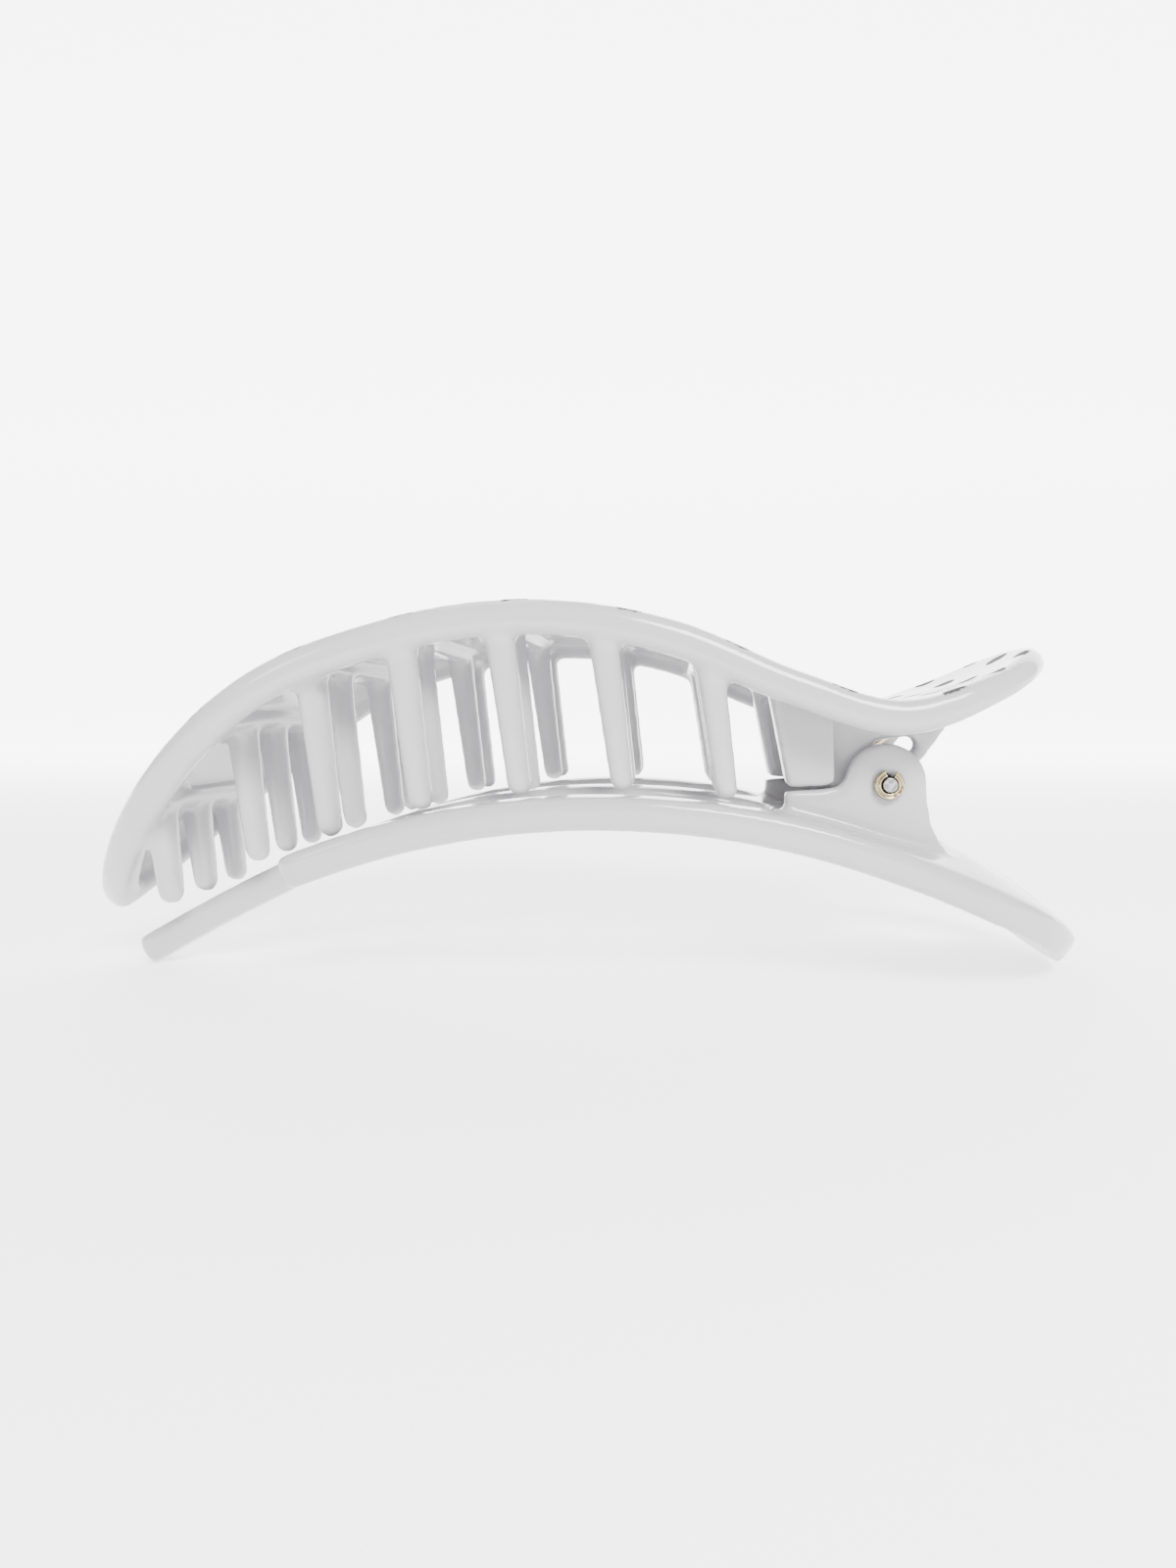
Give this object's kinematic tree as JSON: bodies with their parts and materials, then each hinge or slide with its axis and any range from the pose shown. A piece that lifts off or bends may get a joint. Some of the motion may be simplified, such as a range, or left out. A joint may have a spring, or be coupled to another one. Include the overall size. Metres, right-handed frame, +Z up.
{
  "type": "flat hair clip",
  "caption": "Flat hair clip with an arched, toothed upper jaw over a tined lower jaw, hinged on a steel pin and closed by a torsion spring.",
  "frame": {"origin": "middle of the clip's footprint, on the plane that the tine tip and the tail rest on", "axes": "+X towards the finger tabs, +Y across the clip, +Z up through the arched upper jaw"},
  "size_m": [0.123, 0.032, 0.0438],
  "materials": {
    "white_plastic": "glossy white with near-black polka dots printed on the outer face",
    "steel": "plain wire, dented end faces",
    "brass_plated": "bright plated"
  },
  "bodies": {
    "lower": {"lower_jaw": "white_plastic", "hinge_pin": "steel", "retainer_near": "brass_plated", "retainer_far": "brass_plated", "spring_lower": "brass_plated"},
    "upper": {"upper_jaw": "white_plastic", "spring_upper": "brass_plated"}
  },
  "joints": [
    {"name": "jaw_hinge", "type": "hinge", "parent": "lower", "child": "upper", "pos_m": [0.03632, 0, 0.02334], "axis": [0, 1, 0], "range_deg": [0, 45], "stiffness_Nm_per_rad": 0.12, "springref_deg": -68.75}
  ]
}
